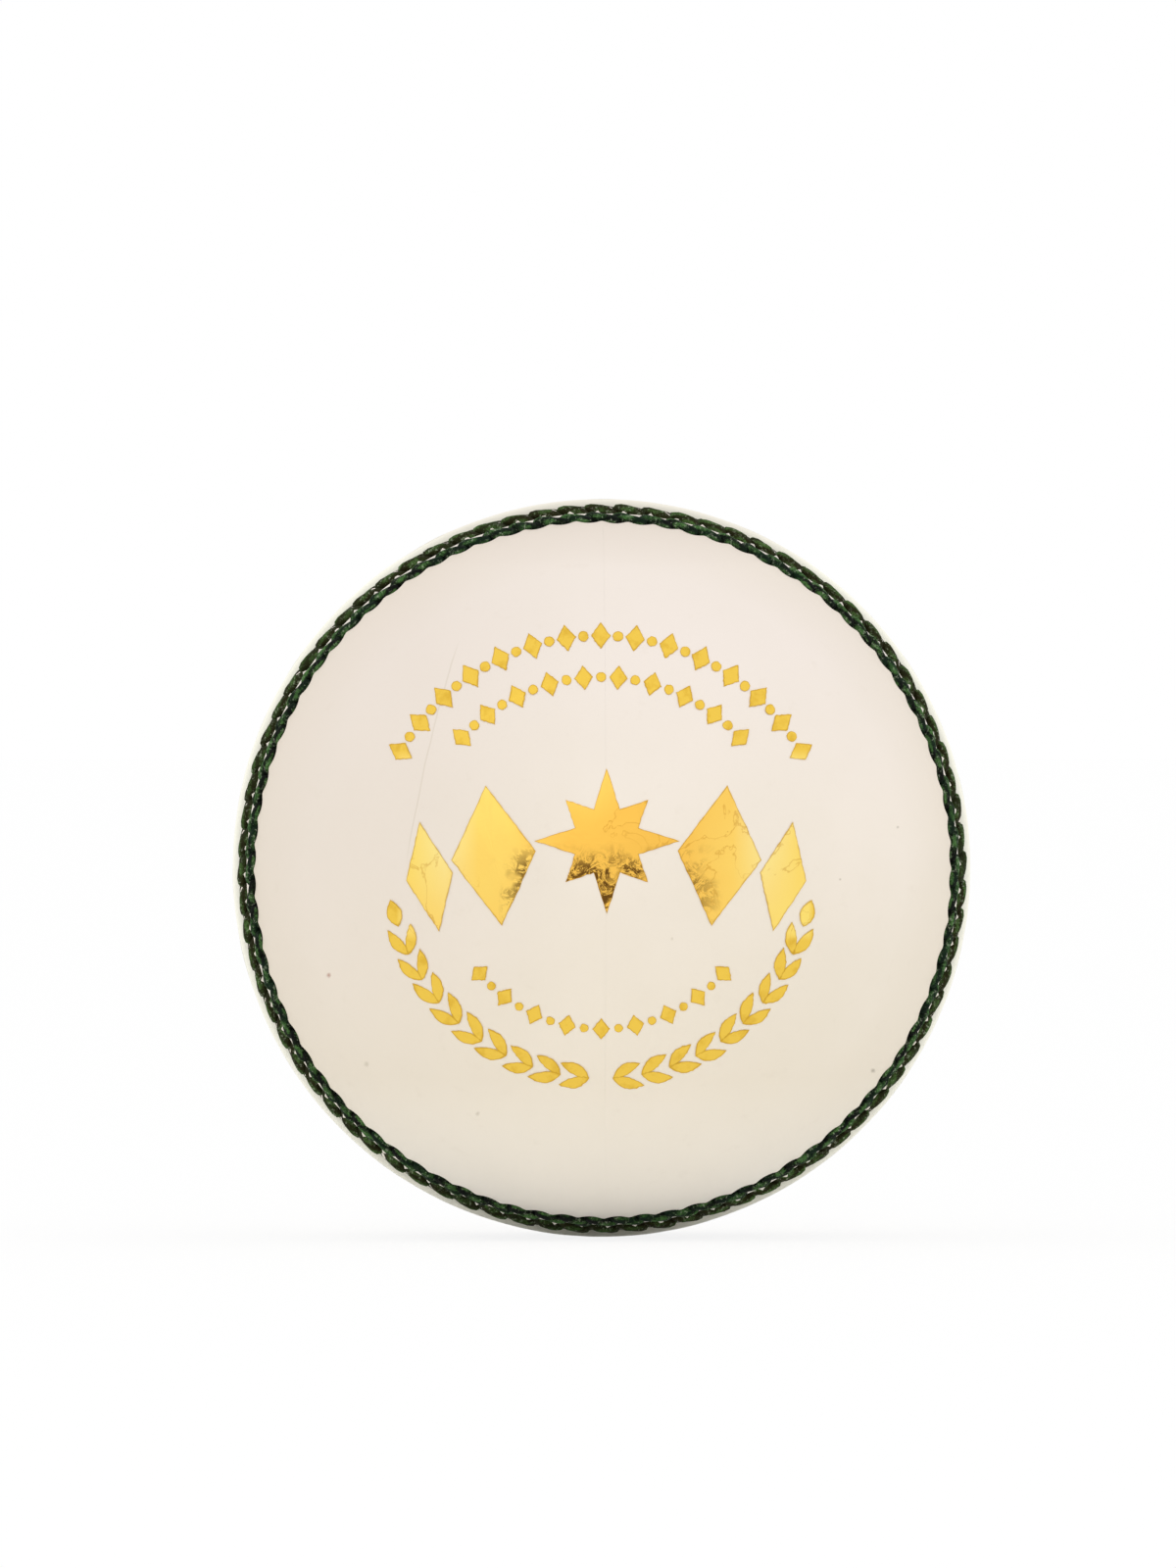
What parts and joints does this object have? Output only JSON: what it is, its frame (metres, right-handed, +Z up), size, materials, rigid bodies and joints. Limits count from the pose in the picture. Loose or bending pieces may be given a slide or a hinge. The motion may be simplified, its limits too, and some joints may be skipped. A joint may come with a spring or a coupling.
{
  "type": "cricket ball",
  "caption": "White leather cricket ball: four-piece cover, six rows of dark green seam stitches, and a core of cork and wound yarn.",
  "frame": {"origin": "centre of the ball", "axes": "+Y along the seam's axis, from the front half to the back half, so the seam stands upright in the XZ plane; +Z up, along the joint of the two front quarters; +X to the right as seen from the front"},
  "size_m": [0.0728, 0.0712, 0.0728],
  "materials": {
    "white_leather": "satin, polished white hide with a fine grain",
    "seam_thread": "waxed twisted linen thread, dark green",
    "lining_thread": "undyed linen thread",
    "worsted_yarn": "undyed worsted yarn, wound tight",
    "cork": "thin sheet cork",
    "cork_rubber": "moulded cork and rubber"
  },
  "bodies": {
    "root": {"core_nucleus": "cork_rubber", "yarn_winding_1": "worsted_yarn", "cork_wrap_1": "cork", "yarn_winding_2": "worsted_yarn", "cork_wrap_2": "cork", "yarn_winding_3": "worsted_yarn", "cork_wrap_3": "cork", "yarn_winding_4": "worsted_yarn", "leather_quarter_front_left": "white_leather", "leather_quarter_front_right": "white_leather", "leather_quarter_back_top": "white_leather", "leather_quarter_back_bottom": "white_leather", "quarter_stitching_front": "lining_thread", "quarter_stitching_back": "lining_thread", "centre_row_front": "seam_thread", "centre_row_back": "seam_thread", "middle_row_front": "seam_thread", "middle_row_back": "seam_thread", "outer_row_front": "seam_thread", "outer_row_back": "seam_thread", "centre_through_threads": "seam_thread", "middle_through_threads": "seam_thread", "outer_through_threads": "seam_thread"}
  },
  "joints": []
}
